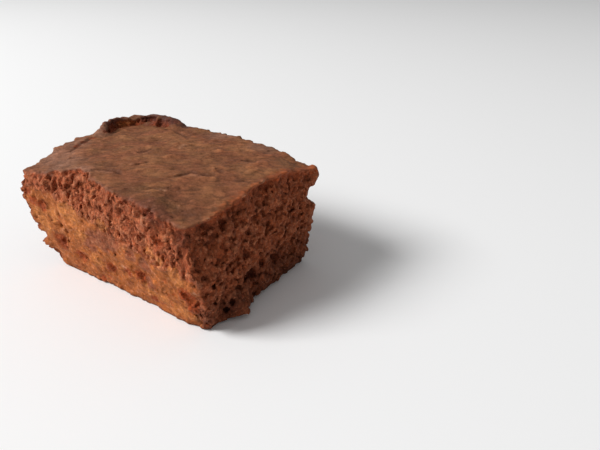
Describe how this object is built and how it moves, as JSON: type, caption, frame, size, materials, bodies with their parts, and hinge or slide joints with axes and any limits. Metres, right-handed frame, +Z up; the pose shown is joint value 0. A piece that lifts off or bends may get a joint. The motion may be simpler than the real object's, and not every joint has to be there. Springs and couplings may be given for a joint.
{
  "type": "spiced tray-bake cake piece",
  "caption": "Thick oblong piece of brown spiced tray-bake cake with a domed browned crust, a broken crust rim at one corner and torn open-crumb sides, resting on its flat base.",
  "frame": {"origin": "centre of the bounding box's bottom face, on the plane the cake rests on", "axes": "+X along the cake's long side, +Y from the long torn side with the wiped lower band towards the opposite side, +Z up from the base to the crust"},
  "size_m": [0.086, 0.0616, 0.0419],
  "materials": {
    "crumb": null
  },
  "bodies": {
    "root": {"cake": "crumb"}
  },
  "joints": []
}
